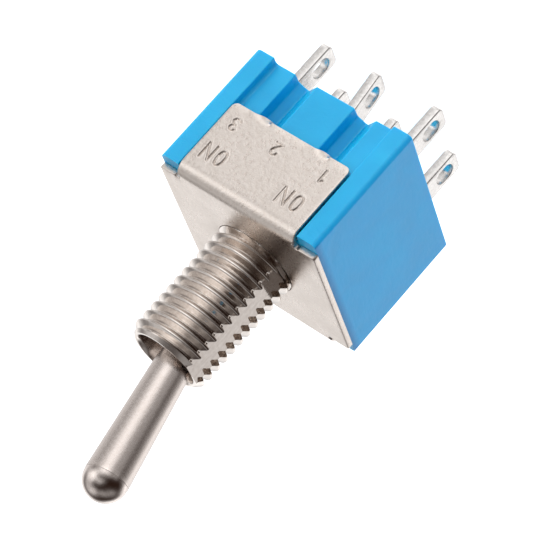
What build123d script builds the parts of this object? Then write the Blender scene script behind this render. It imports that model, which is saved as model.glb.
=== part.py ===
from build123d import *
import os
from math import sin, cos, tan, radians, sqrt

# Miniature toggle switch, two poles, two positions.
# Millimetres. Origin: where the bushing's axis meets the top of the cover
# plate, which is the face that seats against a panel. +Z runs out along the
# bushing, X along the body (the throw and the terminal rows), Y across it.

# ---------------------------------------------------------------- dimensions
# cover plate (frame)
sheet = 0.42              # sheet thickness
frame_length = 13.0       # X
frame_depth = 10.92       # Y, over the two end tabs
flap_outer = 6.52         # Y of the flap's outer face
flap_half = 4.88          # half of the flap's length in X
bend_outer = 0.9          # outer radius of the fold
flap_drop = 6.0           # lower edge of the flap below the plate's top
relief_r = 0.27           # relief notch at the ends of each fold
stroke_w = 0.14           # width and depth of the stamped marks
stroke_d = 0.07
mark_h = 1.25             # height of the ON marks
mark_x = (-3.53, 2.82)    # X of each O's middle
mark_z = (-2.2, -2.13)
digit_h = 0.95            # height of the column numbers

# case
case_half_x = 6.47
flange_y = 6.40
flange_in = 4.98
recess_y = 5.75
groove_steep = (3.37, -1.59)  # X of each front groove's steep wall; it slopes the other way
groove_top = -5.55
case_bottom = -10.0
floor_top = -8.7
cavity_x = 5.4
cavity_y = 3.85

# bushing, M6 x 0.75 (the barrel is plain here, at the thread's outer size)
thread_r = 2.98
bushing_length = 8.9
mouth_outer_r = 2.52
mouth_bore_r = 2.25
throat_r = 1.75
bore_r = 2.0
shank_r = 2.8
plate_hole_r = 3.0
collar_r = 3.55
collar_t = 0.43
keyway_angle = 188.4      # degrees from +X
keyway_w = 1.8
keyway_floor = 2.4        # distance of the keyway's floor from the axis

# lever
pivot_z = 5.4
tilt = 12.0               # lever's angle each side of upright
ball_r = 1.95
tail_r = 0.7
tail_end = 8.6            # below the pivot, along the lever
shank_r12 = 1.524         # shank radius 12 mm above the pivot
shank_taper = 0.0307      # radius gained per mm
dome_start = 12.15
lever_tip = 13.74
dome_r = 1.50
pin_r = 0.4
pin_half = 2.25
slot_r = 2.36
slot_w = 0.9

# actuator, plungers, springs
row_y = 2.5               # poles sit at Y = -row_y and +row_y
yoke_top = 6.9
yoke_end = 10.4
yoke_half_x = 1.3
yoke_half_y = 3.6
well_r = 0.95
well_top = 7.3
plunger_r = 0.88
plunger_top = 9.3
plunger_nose = 11.0       # centre of the round nose
spring_r = 0.68
spring_wire = 0.11
spring_turns = 4

# rocking contacts
rocker_z = -7.24          # axis of the rocker
rocker_tilt = 6.0
rocker_half_w = 0.86
fulcrum_r = 0.34
notch_r = 0.37
dish_r = 5.76
dish_low = 0.72
dish_half = 2.8
strip_t = 0.42

# terminals
pitch = 4.65
lug_t = 0.68
lug_w = 1.88
lug_tip = -14.0
eye_z = -12.62
eye_w = 1.1
eye_len = 1.56
pad_in = 3.5
contact_x = 4.2
contact_top = -7.71
contact_r = 0.6

case_top = -sheet
a = radians(tilt)
b = radians(rocker_tilt)
lever_axis = Vector(-sin(a), 0, cos(a))
lever_x = Vector(cos(a), 0, sin(a))
pivot = Vector(0, 0, pivot_z)

os.makedirs("parts", exist_ok=True)


def finish(builder, name):
    builder.part.label = name
    export_step(builder.part, "parts/" + name + ".step")


# ---------------------------------------------------------------------- case
with BuildPart() as case:
    with BuildSketch(Plane.XY.offset(case_bottom)):
        with BuildLine():
            Polyline(
                (-case_half_x, -flange_y), (-flange_in, -flange_y),
                (-flange_in, -recess_y), (flange_in, -recess_y),
                (flange_in, -flange_y), (case_half_x, -flange_y),
                (case_half_x, flange_y), (flange_in, flange_y),
                (flange_in, recess_y), (-flange_in, recess_y),
                (-flange_in, flange_y), (-case_half_x, flange_y),
                close=True,
            )
        make_face()
    extrude(amount=case_top - case_bottom)
    for side, radius in ((-1, 0.35), (1, 0.28)):
        outer = case.edges().filter_by(Axis.Z).filter_by(
            lambda e: abs(abs(e.center().X) - case_half_x) < 0.01
            and e.center().Y * side > 0)
        fillet(outer, radius)
    step_out = case.edges().filter_by(Axis.Z).filter_by(
        lambda e: abs(abs(e.center().X) - flange_in) < 0.01
        and abs(abs(e.center().Y) - flange_y) < 0.01)
    fillet(step_out, 0.1)
    step_in = case.edges().filter_by(Axis.Z).filter_by(
        lambda e: abs(abs(e.center().X) - flange_in) < 0.01
        and abs(abs(e.center().Y) - recess_y) < 0.01)
    fillet(step_in, 0.26)
    # two deep grooves a side, each with a steep wall and a sloping one,
    # closed above by a ledge; the back is the front turned half round
    for turn in (-1, 1):
        for steep in groove_steep:
            with BuildSketch(Plane.XY.offset(case_bottom - 0.5)):
                with BuildLine():
                    Polyline(*[(-turn * (steep + dx), turn * y) for dx, y in (
                        (0.02, 6.4), (-0.10, 4.95), (-0.78, 4.50), (-2.37, 6.4))],
                        close=True)
                make_face()
            extrude(amount=groove_top - case_bottom + 0.5, mode=Mode.SUBTRACT)
    floor_corners = case.edges().filter_by(Axis.Z).filter_by(
        lambda e: 4.45 < abs(e.center().Y) < 5.0 and abs(e.center().X) < 4.5)
    fillet(floor_corners, 0.2)
    groove_edges = case.edges().filter_by(Axis.Z).filter_by(
        lambda e: abs(abs(e.center().Y) - recess_y) < 0.01 and abs(e.center().X) < 4.0)
    fillet(groove_edges, 0.1)
    # top edges of the recess, cleared for the fold of the cover
    with BuildSketch(Plane.YZ):
        for turn in (-1, 1):
            with BuildLine():
                Polyline((turn * (recess_y - 0.23), case_top + 0.01),
                         (turn * (recess_y + 0.3), case_top + 0.01),
                         (turn * (recess_y + 0.3), case_top - 0.52), close=True)
            make_face()
    extrude(amount=flange_in, both=True, mode=Mode.SUBTRACT)
    # softened edges around the bottom
    low = case.faces().sort_by(Axis.Z)[0].outer_wire().edges()
    fillet(low, 0.1)
    # cavity for the mechanism
    with BuildSketch(Plane.XY.offset(floor_top)):
        RectangleRounded(2 * cavity_x, 2 * cavity_y, 0.5)
    extrude(amount=case_top - floor_top, mode=Mode.SUBTRACT)
    # slots that the terminals pass through
    with BuildSketch(Plane.XY.offset(case_bottom - 0.5)):
        with GridLocations(pitch, 2 * row_y, 3, 2):
            Rectangle(lug_t, lug_w)
    extrude(amount=floor_top - case_bottom + 1.0, mode=Mode.SUBTRACT)
finish(case, "case")

# --------------------------------------------------------------------- frame
hook_spans = ((1.82, 3.08), (-3.02, -1.92))   # X of each front hook; the back ones are turned half round
with BuildPart() as frame:
    # folded middle: plate and both flaps
    with BuildSketch(Plane.YZ):
        with Locations((0, -flap_drop / 2)):
            Rectangle(2 * flap_outer, flap_drop)
        fillet([v for v in vertices() if v.Y > -0.01], bend_outer)
    extrude(amount=flap_half, both=True)
    with BuildSketch(Plane.YZ):
        with Locations((0, -sheet - 5)):
            Rectangle(2 * (flap_outer - sheet), 10)
        fillet([v for v in vertices() if v.Y > -sheet - 0.01], bend_outer - sheet)
    extrude(amount=flap_half + 1, both=True, mode=Mode.SUBTRACT)
    # rounded lower corners of the flaps
    corners = frame.edges().filter_by(Axis.Y).filter_by(
        lambda e: e.center().Z < -flap_drop + 0.01)
    fillet(corners, 0.42)
    # end tabs over the case's flanges
    with BuildSketch(Plane.XY.offset(-sheet)):
        RectangleRounded(frame_length, frame_depth, 0.18)
    extrude(amount=sheet)
    # relief notches where each fold ends
    with BuildSketch(Plane.XY.offset(-1.6)):
        with GridLocations(2 * flap_half + 0.24, frame_depth + 0.3, 2, 2):
            Circle(relief_r)
    extrude(amount=2.0, mode=Mode.SUBTRACT)
    # hole for the bushing's shank
    with BuildSketch(Plane.XY.offset(-1)):
        Circle(plate_hole_r)
    extrude(amount=2, mode=Mode.SUBTRACT)
    # crimped hooks that catch the ledges above the case's grooves
    for turn in (-1, 1):
        for x_low, x_high in hook_spans:
            mid = -turn * (x_low + x_high) / 2
            half = (x_high - x_low) / 2
            with BuildSketch(Plane.XY.offset(-flap_drop - 0.5)):
                with Locations((mid, turn * flap_outer)):
                    Rectangle(2 * half + 0.06, 2.0)
            extrude(amount=0.5 + flap_drop - 5.2, mode=Mode.SUBTRACT)
            with BuildSketch(Plane.YZ.offset(mid)):
                with BuildLine():
                    Polyline(
                        (turn * flap_outer, -5.2), (turn * (flap_outer - 0.07), -5.55),
                        (turn * (flap_outer - 0.50), -6.28),
                        (turn * (flap_outer - 0.84), -6.06),
                        (turn * (flap_outer - sheet - 0.06), -5.45),
                        (turn * (flap_outer - sheet), -5.2),
                        close=True,
                    )
                make_face()
            extrude(amount=half, both=True)
    # stamped marks: ON at both ends of the front flap, column numbers below
    front = Plane(origin=(0, -flap_outer, 0), x_dir=(1, 0, 0), z_dir=(0, -1, 0))
    with BuildSketch(front) as marks:
        for cx, cz in zip(mark_x, mark_z):
            with Locations((cx, cz)):
                SlotOverall(mark_h, 0.66, rotation=90)
                SlotOverall(mark_h - 2 * stroke_w, 0.66 - 2 * stroke_w,
                            rotation=90, mode=Mode.SUBTRACT)
            with Locations((cx + 0.70, cz), (cx + 1.36, cz)):
                Rectangle(stroke_w, mark_h)
            with Locations((cx + 1.03, cz)):
                SlotOverall(1.36, stroke_w, rotation=-62)
        # 1
        with Locations((-3.62, -4.62)):
            Rectangle(stroke_w, digit_h)
        with Locations((-3.72, -4.24)):
            SlotOverall(0.36, stroke_w, rotation=42)
        # 2
        with BuildLine():
            two = Polyline((-0.02, -4.36), (0.02, -4.2), (0.2, -4.14), (0.42, -4.2),
                           (0.47, -4.4), (0.36, -4.62), (-0.03, -5.05), (0.5, -5.05))
            offset(two, stroke_w / 2)
        make_face()
        # 3
        with BuildLine():
            three = Polyline((3.5, -4.27), (3.62, -4.15), (3.84, -4.16), (3.95, -4.32),
                             (3.87, -4.5), (3.68, -4.58), (3.9, -4.66), (4.0, -4.84),
                             (3.88, -5.03), (3.64, -5.07), (3.48, -4.95))
            offset(three, stroke_w / 2)
        make_face()
    extrude(amount=-stroke_d, mode=Mode.SUBTRACT)
finish(frame, "frame")

# ------------------------------------------------------------------- bushing
seat_z = pivot_z + sqrt(bore_r ** 2 - throat_r ** 2)
seat_mid = Vector(bore_r * cos(radians(14)), pivot_z + bore_r * sin(radians(14)))
with BuildPart() as bushing:
    with BuildSketch(Plane.XZ):
        with BuildLine():
            Polyline(
                (bore_r, pivot_z), (bore_r, 2.2), (2.35, -sheet - collar_t),
                (collar_r, -sheet - collar_t), (collar_r, -sheet),
                (shank_r, -sheet), (shank_r, 0), (thread_r, 0),
                (thread_r, bushing_length - (thread_r - mouth_outer_r)),
                (mouth_outer_r, bushing_length), (mouth_bore_r + 0.06, bushing_length),
                (mouth_bore_r, bushing_length - 0.1), (throat_r, seat_z),
            )
            ThreePointArc((throat_r, seat_z), (seat_mid.X, seat_mid.Y), (bore_r, pivot_z))
        make_face()
    revolve(axis=Axis.Z)
    # keyway along the barrel
    k = radians(keyway_angle)
    key_dir = Vector(cos(k), sin(k), 0)
    with BuildSketch(Plane(origin=(0, 0, 0), x_dir=key_dir, z_dir=(0, 0, 1))):
        with Locations((keyway_floor + 1, 0)):
            Rectangle(2, keyway_w)
    extrude(amount=bushing_length, mode=Mode.SUBTRACT)
    # two slots inside, open below, for the ends of the lever's cross pin
    with BuildSketch(Plane.XZ):
        with Locations((0, (pivot_z - 1) / 2)):
            Rectangle(slot_w, pivot_z + 1)
        with Locations((0, pivot_z)):
            Circle(slot_w / 2)
    extrude(amount=slot_r, both=True, mode=Mode.SUBTRACT)
finish(bushing, "bushing")

# --------------------------------------------------------------------- lever
profile_plane = Plane(origin=pivot, x_dir=lever_x, z_dir=(0, -1, 0))
neck_r = 1.2
neck_y = sqrt(ball_r ** 2 - neck_r ** 2)
tail_y = -sqrt(ball_r ** 2 - tail_r ** 2)
shank_end_r = shank_r12 + shank_taper * (dome_start - 12)
cap_h = lever_tip - dome_start
cap_r = (dome_r ** 2 + cap_h ** 2) / (2 * cap_h)
with BuildPart() as toggle_lever:
    with BuildSketch(profile_plane):
        with BuildLine():
            Polyline((0, lever_tip), (0, -tail_end), (tail_r - 0.12, -tail_end),
                     (tail_r, -tail_end + 0.12), (tail_r, tail_y))
            ThreePointArc((tail_r, tail_y), (ball_r, 0), (neck_r, neck_y))
            Polyline((neck_r, neck_y), (shank_end_r - 0.01, dome_start - 0.06),
                     (dome_r, dome_start))
            ThreePointArc((dome_r, dome_start),
                          (cap_r * cos(radians(50)), lever_tip - cap_r + cap_r * sin(radians(50))),
                          (0, lever_tip))
        make_face()
    revolve(axis=Axis(pivot, lever_axis))
    # cross hole for the pin
    with BuildSketch(Plane.XZ):
        with Locations((0, pivot_z)):
            Circle(pin_r)
    extrude(amount=ball_r + 1, both=True, mode=Mode.SUBTRACT)
finish(toggle_lever, "toggle_lever")

with BuildPart() as lever_pin:
    with BuildSketch(Plane.XZ):
        with Locations((0, pivot_z)):
            Circle(pin_r)
    extrude(amount=pin_half, both=True)
    chamfer(lever_pin.edges().filter_by(GeomType.CIRCLE), 0.08)
finish(lever_pin, "lever_pin")

# ------------------------------------------------------------------ actuator
def along(distance):
    """Point on the lever's axis, the given distance below the pivot."""
    return pivot - lever_axis * distance


yoke_plane = Plane(origin=along(yoke_end), x_dir=lever_x, z_dir=lever_axis)
with BuildPart() as actuator:
    with BuildSketch(yoke_plane):
        RectangleRounded(2 * yoke_half_x, 2 * yoke_half_y, 0.35)
    extrude(amount=yoke_end - yoke_top)
    # hole in the top takes the lever's tail
    with BuildSketch(yoke_plane.offset(yoke_end - tail_end)):
        Circle(tail_r + 0.02)
    extrude(amount=4, mode=Mode.SUBTRACT)
    # spring wells, open below
    with BuildSketch(yoke_plane):
        with Locations((0, -row_y), (0, row_y)):
            Circle(well_r)
    extrude(amount=yoke_end - well_top, mode=Mode.SUBTRACT)
finish(actuator, "actuator")


# ------------------------------------------------------- plungers and springs
def plunger_profile(row):
    return Plane(origin=pivot + Vector(0, row, 0), x_dir=lever_x, z_dir=(0, -1, 0))


nose_end = plunger_nose + plunger_r
with BuildPart() as plunger_front:
    with BuildSketch(plunger_profile(-row_y)):
        with BuildLine():
            Polyline((0, -nose_end), (0, -plunger_top), (plunger_r - 0.1, -plunger_top),
                     (plunger_r, -plunger_top - 0.1), (plunger_r, -plunger_nose))
            ThreePointArc((plunger_r, -plunger_nose),
                          (plunger_r * cos(radians(45)), -plunger_nose - plunger_r * sin(radians(45))),
                          (0, -nose_end))
        make_face()
    revolve(axis=Axis(pivot + Vector(0, -row_y, 0), lever_axis))
finish(plunger_front, "plunger_front")

with BuildPart() as plunger_rear:
    with BuildSketch(plunger_profile(row_y)):
        with BuildLine():
            Polyline((0, -nose_end), (0, -plunger_top), (plunger_r - 0.1, -plunger_top),
                     (plunger_r, -plunger_top - 0.1), (plunger_r, -plunger_nose))
            ThreePointArc((plunger_r, -plunger_nose),
                          (plunger_r * cos(radians(45)), -plunger_nose - plunger_r * sin(radians(45))),
                          (0, -nose_end))
        make_face()
    revolve(axis=Axis(pivot + Vector(0, row_y, 0), lever_axis))
finish(plunger_rear, "plunger_rear")

coil_height = plunger_top - well_top - 2 * spring_wire - 0.04
with BuildPart() as spring_front:
    with BuildLine():
        coil_f = Helix(pitch=coil_height / spring_turns, height=coil_height, radius=spring_r,
                       center=along(plunger_top - spring_wire - 0.02) + Vector(0, -row_y, 0),
                       direction=lever_axis)
    with BuildSketch(Plane(origin=coil_f @ 0, z_dir=coil_f % 0)):
        Circle(spring_wire)
    sweep(is_frenet=True)
finish(spring_front, "spring_front")

with BuildPart() as spring_rear:
    with BuildLine():
        coil_r = Helix(pitch=coil_height / spring_turns, height=coil_height, radius=spring_r,
                       center=along(plunger_top - spring_wire - 0.02) + Vector(0, row_y, 0),
                       direction=lever_axis)
    with BuildSketch(Plane(origin=coil_r @ 0, z_dir=coil_r % 0)):
        Circle(spring_wire)
    sweep(is_frenet=True)
finish(spring_rear, "spring_rear")


# ------------------------------------------------------------------- rockers
def rocker_plane(row):
    return Plane(origin=(0, row, rocker_z), x_dir=(cos(b), 0, -sin(b)), z_dir=(0, -1, 0))


dish_c = dish_low + dish_r
dish_edge = dish_c - sqrt(dish_r ** 2 - dish_half ** 2)
under_r = dish_r + strip_t
under_half = 2.62
under_edge = dish_c - sqrt(under_r ** 2 - under_half ** 2)
boss_half = 0.8
boss_y = 0.12
boss_top = dish_c - sqrt(under_r ** 2 - (boss_half + 0.1) ** 2)
wing_end = 4.9
wing_y = 0.1
wing_top = wing_y + strip_t
notch_x = sqrt(notch_r ** 2 - boss_y ** 2)


def rocker_outline():
    """Dished strip with a notch under its middle and a foot under each wing."""
    ThreePointArc((-dish_half, dish_edge), (0, dish_low), (dish_half, dish_edge))
    for s in (-1, 1):
        Polyline((s * dish_half, dish_edge), (s * (dish_half + 0.28), dish_edge),
                 (s * 3.62, wing_top), (s * wing_end, wing_top),
                 (s * wing_end, wing_y), (s * 4.5, wing_y))
        ThreePointArc((s * 4.5, wing_y), (s * contact_x, 0), (s * 3.9, wing_y))
        Polyline((s * 3.9, wing_y), (s * 3.38, wing_y), (s * (under_half + 0.25), under_edge),
                 (s * under_half, under_edge))
        ThreePointArc((s * under_half, under_edge),
                      (s * 1.8, dish_c - sqrt(under_r ** 2 - 1.8 ** 2)),
                      (s * (boss_half + 0.1), boss_top))
        Polyline((s * (boss_half + 0.1), boss_top), (s * boss_half, boss_y), (s * notch_x, boss_y))
    ThreePointArc((-notch_x, boss_y), (0, notch_r), (notch_x, boss_y))


with BuildPart() as rocker_front:
    with BuildSketch(rocker_plane(-row_y)):
        with BuildLine():
            rocker_outline()
        make_face()
    extrude(amount=rocker_half_w, both=True)
finish(rocker_front, "rocker_front")

with BuildPart() as rocker_rear:
    with BuildSketch(rocker_plane(row_y)):
        with BuildLine():
            rocker_outline()
        make_face()
    extrude(amount=rocker_half_w, both=True)
finish(rocker_rear, "rocker_rear")


# ----------------------------------------------------------------- terminals
ear_in, ear_out = 0.92, 1.25
ear_top = rocker_z + 0.5


def lug_blank(cx, lean):
    """Side view of the strip outside the case; lean shifts its tip in X."""
    Polyline((cx - lug_t / 2, floor_top), (cx - lug_t / 2, case_bottom - 0.35),
             (cx - lug_t / 2 + lean, lug_tip), (cx + lug_t / 2 + lean, lug_tip),
             (cx + lug_t / 2, case_bottom - 0.35), (cx + lug_t / 2, floor_top), close=True)


def end_terminal(cx, row):
    """Solder lug whose upper end is folded inwards on the floor as a contact pad."""
    s = 1 if cx > 0 else -1
    with BuildPart() as t:
        with BuildSketch(Plane.XZ.offset(-row)):
            with BuildLine():
                lug_blank(cx, 0)
            make_face()
        extrude(amount=lug_w / 2, both=True)
        with BuildSketch(Plane.XY.offset(floor_top)):
            with Locations((s * (pad_in + pitch + lug_t / 2) / 2, row)):
                Rectangle(pitch + lug_t / 2 - pad_in, lug_w)
        extrude(amount=lug_t)
        bend = t.edges().filter_by(Axis.Y).filter_by(
            lambda e: e.center().Z > floor_top + lug_t - 0.01
            and abs(e.center().X) > pitch)
        fillet(bend, 0.4)
        with BuildSketch(Plane.XY.offset(floor_top - 1)):
            with Locations((s * contact_x, row)):
                Circle(0.3)
        extrude(amount=3, mode=Mode.SUBTRACT)
        with BuildSketch(Plane.YZ.offset(cx)):
            with Locations((row, eye_z)):
                SlotOverall(eye_len, eye_w, rotation=90)
        extrude(amount=2, both=True, mode=Mode.SUBTRACT)
        tip = t.edges().filter_by(Axis.X).filter_by(lambda e: e.center().Z < lug_tip + 0.01)
        fillet(tip, 0.4)
    return t


def centre_terminal(row, lean):
    """Solder lug whose upper end is the rocker's fulcrum, between two ears."""
    with BuildPart() as t:
        with BuildSketch(Plane.XZ.offset(-row)):
            with BuildLine():
                lug_blank(0, lean)
            make_face()
        extrude(amount=lug_w / 2, both=True)
        with BuildSketch(Plane.YZ):
            with BuildLine():
                Polyline((row - ear_out, floor_top), (row - ear_out, ear_top),
                         (row - ear_in, ear_top), (row - ear_in, rocker_z),
                         (row + ear_in, rocker_z), (row + ear_in, ear_top),
                         (row + ear_out, ear_top), (row + ear_out, floor_top), close=True)
            make_face()
        extrude(amount=lug_t / 2, both=True)
        with BuildSketch(Plane.XZ.offset(-row)):
            with Locations((0, rocker_z)):
                Circle(fulcrum_r)
        extrude(amount=ear_in, both=True)
        with BuildSketch(Plane.YZ.offset(lean * 0.65)):
            with Locations((row, eye_z)):
                SlotOverall(eye_len, eye_w, rotation=90)
        extrude(amount=2, both=True, mode=Mode.SUBTRACT)
        tip = t.edges().filter_by(lambda e: e.center().Z < lug_tip + 0.01
                                  and abs(abs(e.center().Y - row) - lug_w / 2) < 0.01)
        fillet(tip, 0.4)
    return t


terminal_1 = end_terminal(-pitch, -row_y)
finish(terminal_1, "terminal_1")
terminal_2 = centre_terminal(-row_y, 0.42)
finish(terminal_2, "terminal_2")
terminal_3 = end_terminal(pitch, -row_y)
finish(terminal_3, "terminal_3")
terminal_4 = end_terminal(-pitch, row_y)
finish(terminal_4, "terminal_4")
terminal_5 = centre_terminal(row_y, 0.16)
finish(terminal_5, "terminal_5")
terminal_6 = end_terminal(pitch, row_y)
finish(terminal_6, "terminal_6")


# ----------------------------------------------------------- contact rivets
def contact_rivet(cx, row):
    """Silver rivet: domed head on the pad, shank through it."""
    pad_top = floor_top + lug_t
    side = pad_top + 0.12
    head_r = (contact_r ** 2 + (contact_top - side) ** 2) / (2 * (contact_top - side))
    mid = radians(75)
    with BuildPart() as r:
        with BuildSketch(Plane(origin=(cx, row, 0), x_dir=(1, 0, 0), z_dir=(0, -1, 0))):
            with BuildLine():
                Polyline((0, contact_top), (0, floor_top + 0.02), (0.28, floor_top + 0.02),
                         (0.28, pad_top), (contact_r, pad_top), (contact_r, side))
                ThreePointArc((contact_r, side),
                              (head_r * cos(mid), contact_top - head_r + head_r * sin(mid)),
                              (0, contact_top))
            make_face()
        revolve(axis=Axis((cx, row, 0), (0, 0, 1)))
    return r


contact_1 = contact_rivet(-contact_x, -row_y)
finish(contact_1, "contact_1")
contact_3 = contact_rivet(contact_x, -row_y)
finish(contact_3, "contact_3")
contact_4 = contact_rivet(-contact_x, row_y)
finish(contact_4, "contact_4")
contact_6 = contact_rivet(contact_x, row_y)
finish(contact_6, "contact_6")
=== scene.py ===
import bpy, bmesh, math, random
from mathutils import Vector, Matrix, Quaternion, noise


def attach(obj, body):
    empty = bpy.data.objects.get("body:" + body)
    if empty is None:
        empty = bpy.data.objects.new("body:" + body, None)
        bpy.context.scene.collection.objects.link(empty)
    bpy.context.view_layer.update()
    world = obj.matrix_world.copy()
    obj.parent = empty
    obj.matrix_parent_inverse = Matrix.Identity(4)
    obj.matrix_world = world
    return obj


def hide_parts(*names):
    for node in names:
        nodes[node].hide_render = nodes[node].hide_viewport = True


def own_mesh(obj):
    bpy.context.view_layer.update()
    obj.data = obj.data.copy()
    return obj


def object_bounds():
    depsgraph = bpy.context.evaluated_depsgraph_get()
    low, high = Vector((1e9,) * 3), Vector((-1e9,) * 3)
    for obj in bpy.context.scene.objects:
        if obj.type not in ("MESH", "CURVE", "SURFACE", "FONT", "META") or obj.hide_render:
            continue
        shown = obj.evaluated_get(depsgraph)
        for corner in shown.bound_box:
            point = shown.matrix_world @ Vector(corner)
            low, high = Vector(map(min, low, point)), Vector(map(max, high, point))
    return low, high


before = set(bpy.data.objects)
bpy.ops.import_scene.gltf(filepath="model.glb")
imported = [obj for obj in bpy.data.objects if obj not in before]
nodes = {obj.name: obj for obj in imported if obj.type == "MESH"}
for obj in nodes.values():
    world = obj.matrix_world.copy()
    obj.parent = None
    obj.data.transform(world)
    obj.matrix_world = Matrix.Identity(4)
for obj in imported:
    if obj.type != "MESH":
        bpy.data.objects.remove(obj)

cad_lo, cad_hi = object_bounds()
MM = 0.001
scene = bpy.context.scene


# ------------------------------------------------------------- node helpers
class Mat:
    """A small helper that builds one procedural material."""

    def __init__(self, name):
        self.m = bpy.data.materials.new(name)
        self.m.use_nodes = True
        self.t = self.m.node_tree
        self.t.nodes.clear()
        self.out = self.t.nodes.new("ShaderNodeOutputMaterial")
        self.bsdf = self.t.nodes.new("ShaderNodeBsdfPrincipled")
        self.t.links.new(self.bsdf.outputs[0], self.out.inputs[0])
        self.coord = self.t.nodes.new("ShaderNodeTexCoord").outputs["Object"]

    def put(self, socket, value):
        if hasattr(value, "links"):
            self.t.links.new(value, socket)
        else:
            socket.default_value = value

    def set(self, **kw):
        for k, v in kw.items():
            self.put(self.bsdf.inputs[k.replace("_", " ")], v)

    def mapping(self, scale=(1, 1, 1), rot=(0, 0, 0), loc=(0, 0, 0)):
        n = self.t.nodes.new("ShaderNodeMapping")
        self.t.links.new(self.coord, n.inputs["Vector"])
        n.inputs["Scale"].default_value = scale
        n.inputs["Rotation"].default_value = rot
        n.inputs["Location"].default_value = loc
        return n.outputs[0]

    def noise(self, size_mm, detail=3, rough=0.55, vector=None, distortion=0.0, stretch=(1, 1, 1), rot=(0, 0, 0), loc=(0, 0, 0)):
        """Noise whose lumps are about size_mm across."""
        n = self.t.nodes.new("ShaderNodeTexNoise")
        n.noise_dimensions = "3D"
        s = 1000.0 / size_mm
        v = self.mapping(tuple(s * x for x in stretch), rot, loc) if vector is None else vector
        self.t.links.new(v, n.inputs["Vector"])
        n.inputs["Scale"].default_value = 1.0 if vector is None else s
        n.inputs["Detail"].default_value = detail
        n.inputs["Roughness"].default_value = rough
        n.inputs["Distortion"].default_value = distortion
        return n.outputs["Fac"]

    def voronoi(self, size_mm, feature="F1", stretch=(1, 1, 1), rot=(0, 0, 0), out="Distance", randomness=1.0):
        n = self.t.nodes.new("ShaderNodeTexVoronoi")
        n.feature = feature
        s = 1000.0 / size_mm
        self.t.links.new(self.mapping(tuple(s * x for x in stretch), rot), n.inputs["Vector"])
        n.inputs["Scale"].default_value = 1.0
        n.inputs["Randomness"].default_value = randomness
        return n.outputs[out]

    def ramp(self, fac, stops, mode="LINEAR"):
        n = self.t.nodes.new("ShaderNodeValToRGB")
        self.put(n.inputs[0], fac)
        r = n.color_ramp
        r.interpolation = mode
        while len(r.elements) > 1:
            r.elements.remove(r.elements[-1])
        r.elements[0].position = stops[0][0]
        r.elements[0].color = self._c(stops[0][1])
        for p, c in stops[1:]:
            r.elements.new(p).color = self._c(c)
        return n.outputs[0]

    @staticmethod
    def _c(c):
        if isinstance(c, (int, float)):
            return (c, c, c, 1)
        return (*c[:3], 1)

    def math(self, op, a, b=None, clamp=False):
        n = self.t.nodes.new("ShaderNodeMath")
        n.operation = op
        n.use_clamp = clamp
        self.put(n.inputs[0], a)
        if b is not None:
            self.put(n.inputs[1], b)
        return n.outputs[0]

    def mix(self, fac, a, b, kind="MIX"):
        n = self.t.nodes.new("ShaderNodeMix")
        n.data_type = "RGBA"
        n.blend_type = kind
        self.put(n.inputs[0], fac)
        self.put(n.inputs[6], a if hasattr(a, "links") else self._c(a))
        self.put(n.inputs[7], b if hasattr(b, "links") else self._c(b))
        return n.outputs[2]

    def remap(self, v, a0, a1, b0, b1):
        n = self.t.nodes.new("ShaderNodeMapRange")
        self.put(n.inputs[0], v)
        for i, x in enumerate((a0, a1, b0, b1)):
            n.inputs[i + 1].default_value = x
        return n.outputs[0]

    def bump(self, height, depth_mm, normal=None, strength=1.0):
        n = self.t.nodes.new("ShaderNodeBump")
        n.inputs["Strength"].default_value = strength
        n.inputs["Distance"].default_value = depth_mm * MM
        self.put(n.inputs["Height"], height)
        if normal is not None:
            self.t.links.new(normal, n.inputs["Normal"])
        return n.outputs[0]

    def axis(self, name):
        n = self.t.nodes.new("ShaderNodeSeparateXYZ")
        self.t.links.new(self.coord, n.inputs[0])
        return n.outputs["XYZ".index(name)]

    def geo(self, name):
        return self.t.nodes.new("ShaderNodeNewGeometry").outputs[name]


def srgb(r, g, b):
    return tuple(((c / 255 + 0.055) / 1.055) ** 2.4 if c > 10 else c / 255 / 12.92 for c in (r, g, b))


# ---------------------------------------------------------------- materials
def blue_plastic():
    m = Mat("blue_plastic")
    cloud = m.noise(3.2, 3, 0.5, distortion=0.4)
    fine = m.noise(0.35, 3, 0.6)
    flow = m.noise(0.9, 4, 0.6, stretch=(1, 0.55, 1.6), rot=(0.7, 0, 0), distortion=0.8)
    base = m.ramp(cloud, [(0.3, (0.001, 0.39, 0.70)), (0.55, (0.002, 0.42, 0.74)), (0.75, (0.004, 0.45, 0.765))])
    specks = m.ramp(m.noise(0.13, 2, 0.7), [(0.68, 0.0), (0.78, 1.0)])
    base = m.mix(m.math("MULTIPLY", specks, 0.2), base, (0.0, 0.24, 0.58))
    # painted shade: the end faces darker just under the cover's edge, standing in for the cover's shadow
    end = m.remap(m.math("ABSOLUTE", m.axis("X")), 0.00640, 0.00645, 0.0, 1.0)
    cover_shadow_band = m.remap(m.axis("Z"), -0.00105, -0.00050, 0.0, 0.62)
    base = m.mix(m.math("MULTIPLY", end, cover_shadow_band), base, (0.0, 0.13, 0.36))
    rough = m.remap(m.math("ADD", m.math("MULTIPLY", cloud, 0.5), m.math("MULTIPLY", fine, 0.5)), 0.3, 0.7, 0.30, 0.44)
    n = m.bump(fine, 0.006)
    n = m.bump(flow, 0.012, n)
    n = m.bump(cloud, 0.03, n)
    m.set(Base_Color=base, Roughness=rough, Normal=n)
    m.bsdf.inputs["IOR"].default_value = 1.46
    m.bsdf.inputs["Subsurface Weight"].default_value = 0.45
    m.bsdf.inputs["Subsurface Radius"].default_value = (0.1, 0.8, 1.0)
    m.bsdf.inputs["Subsurface Scale"].default_value = 0.0005
    return m.m


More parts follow.
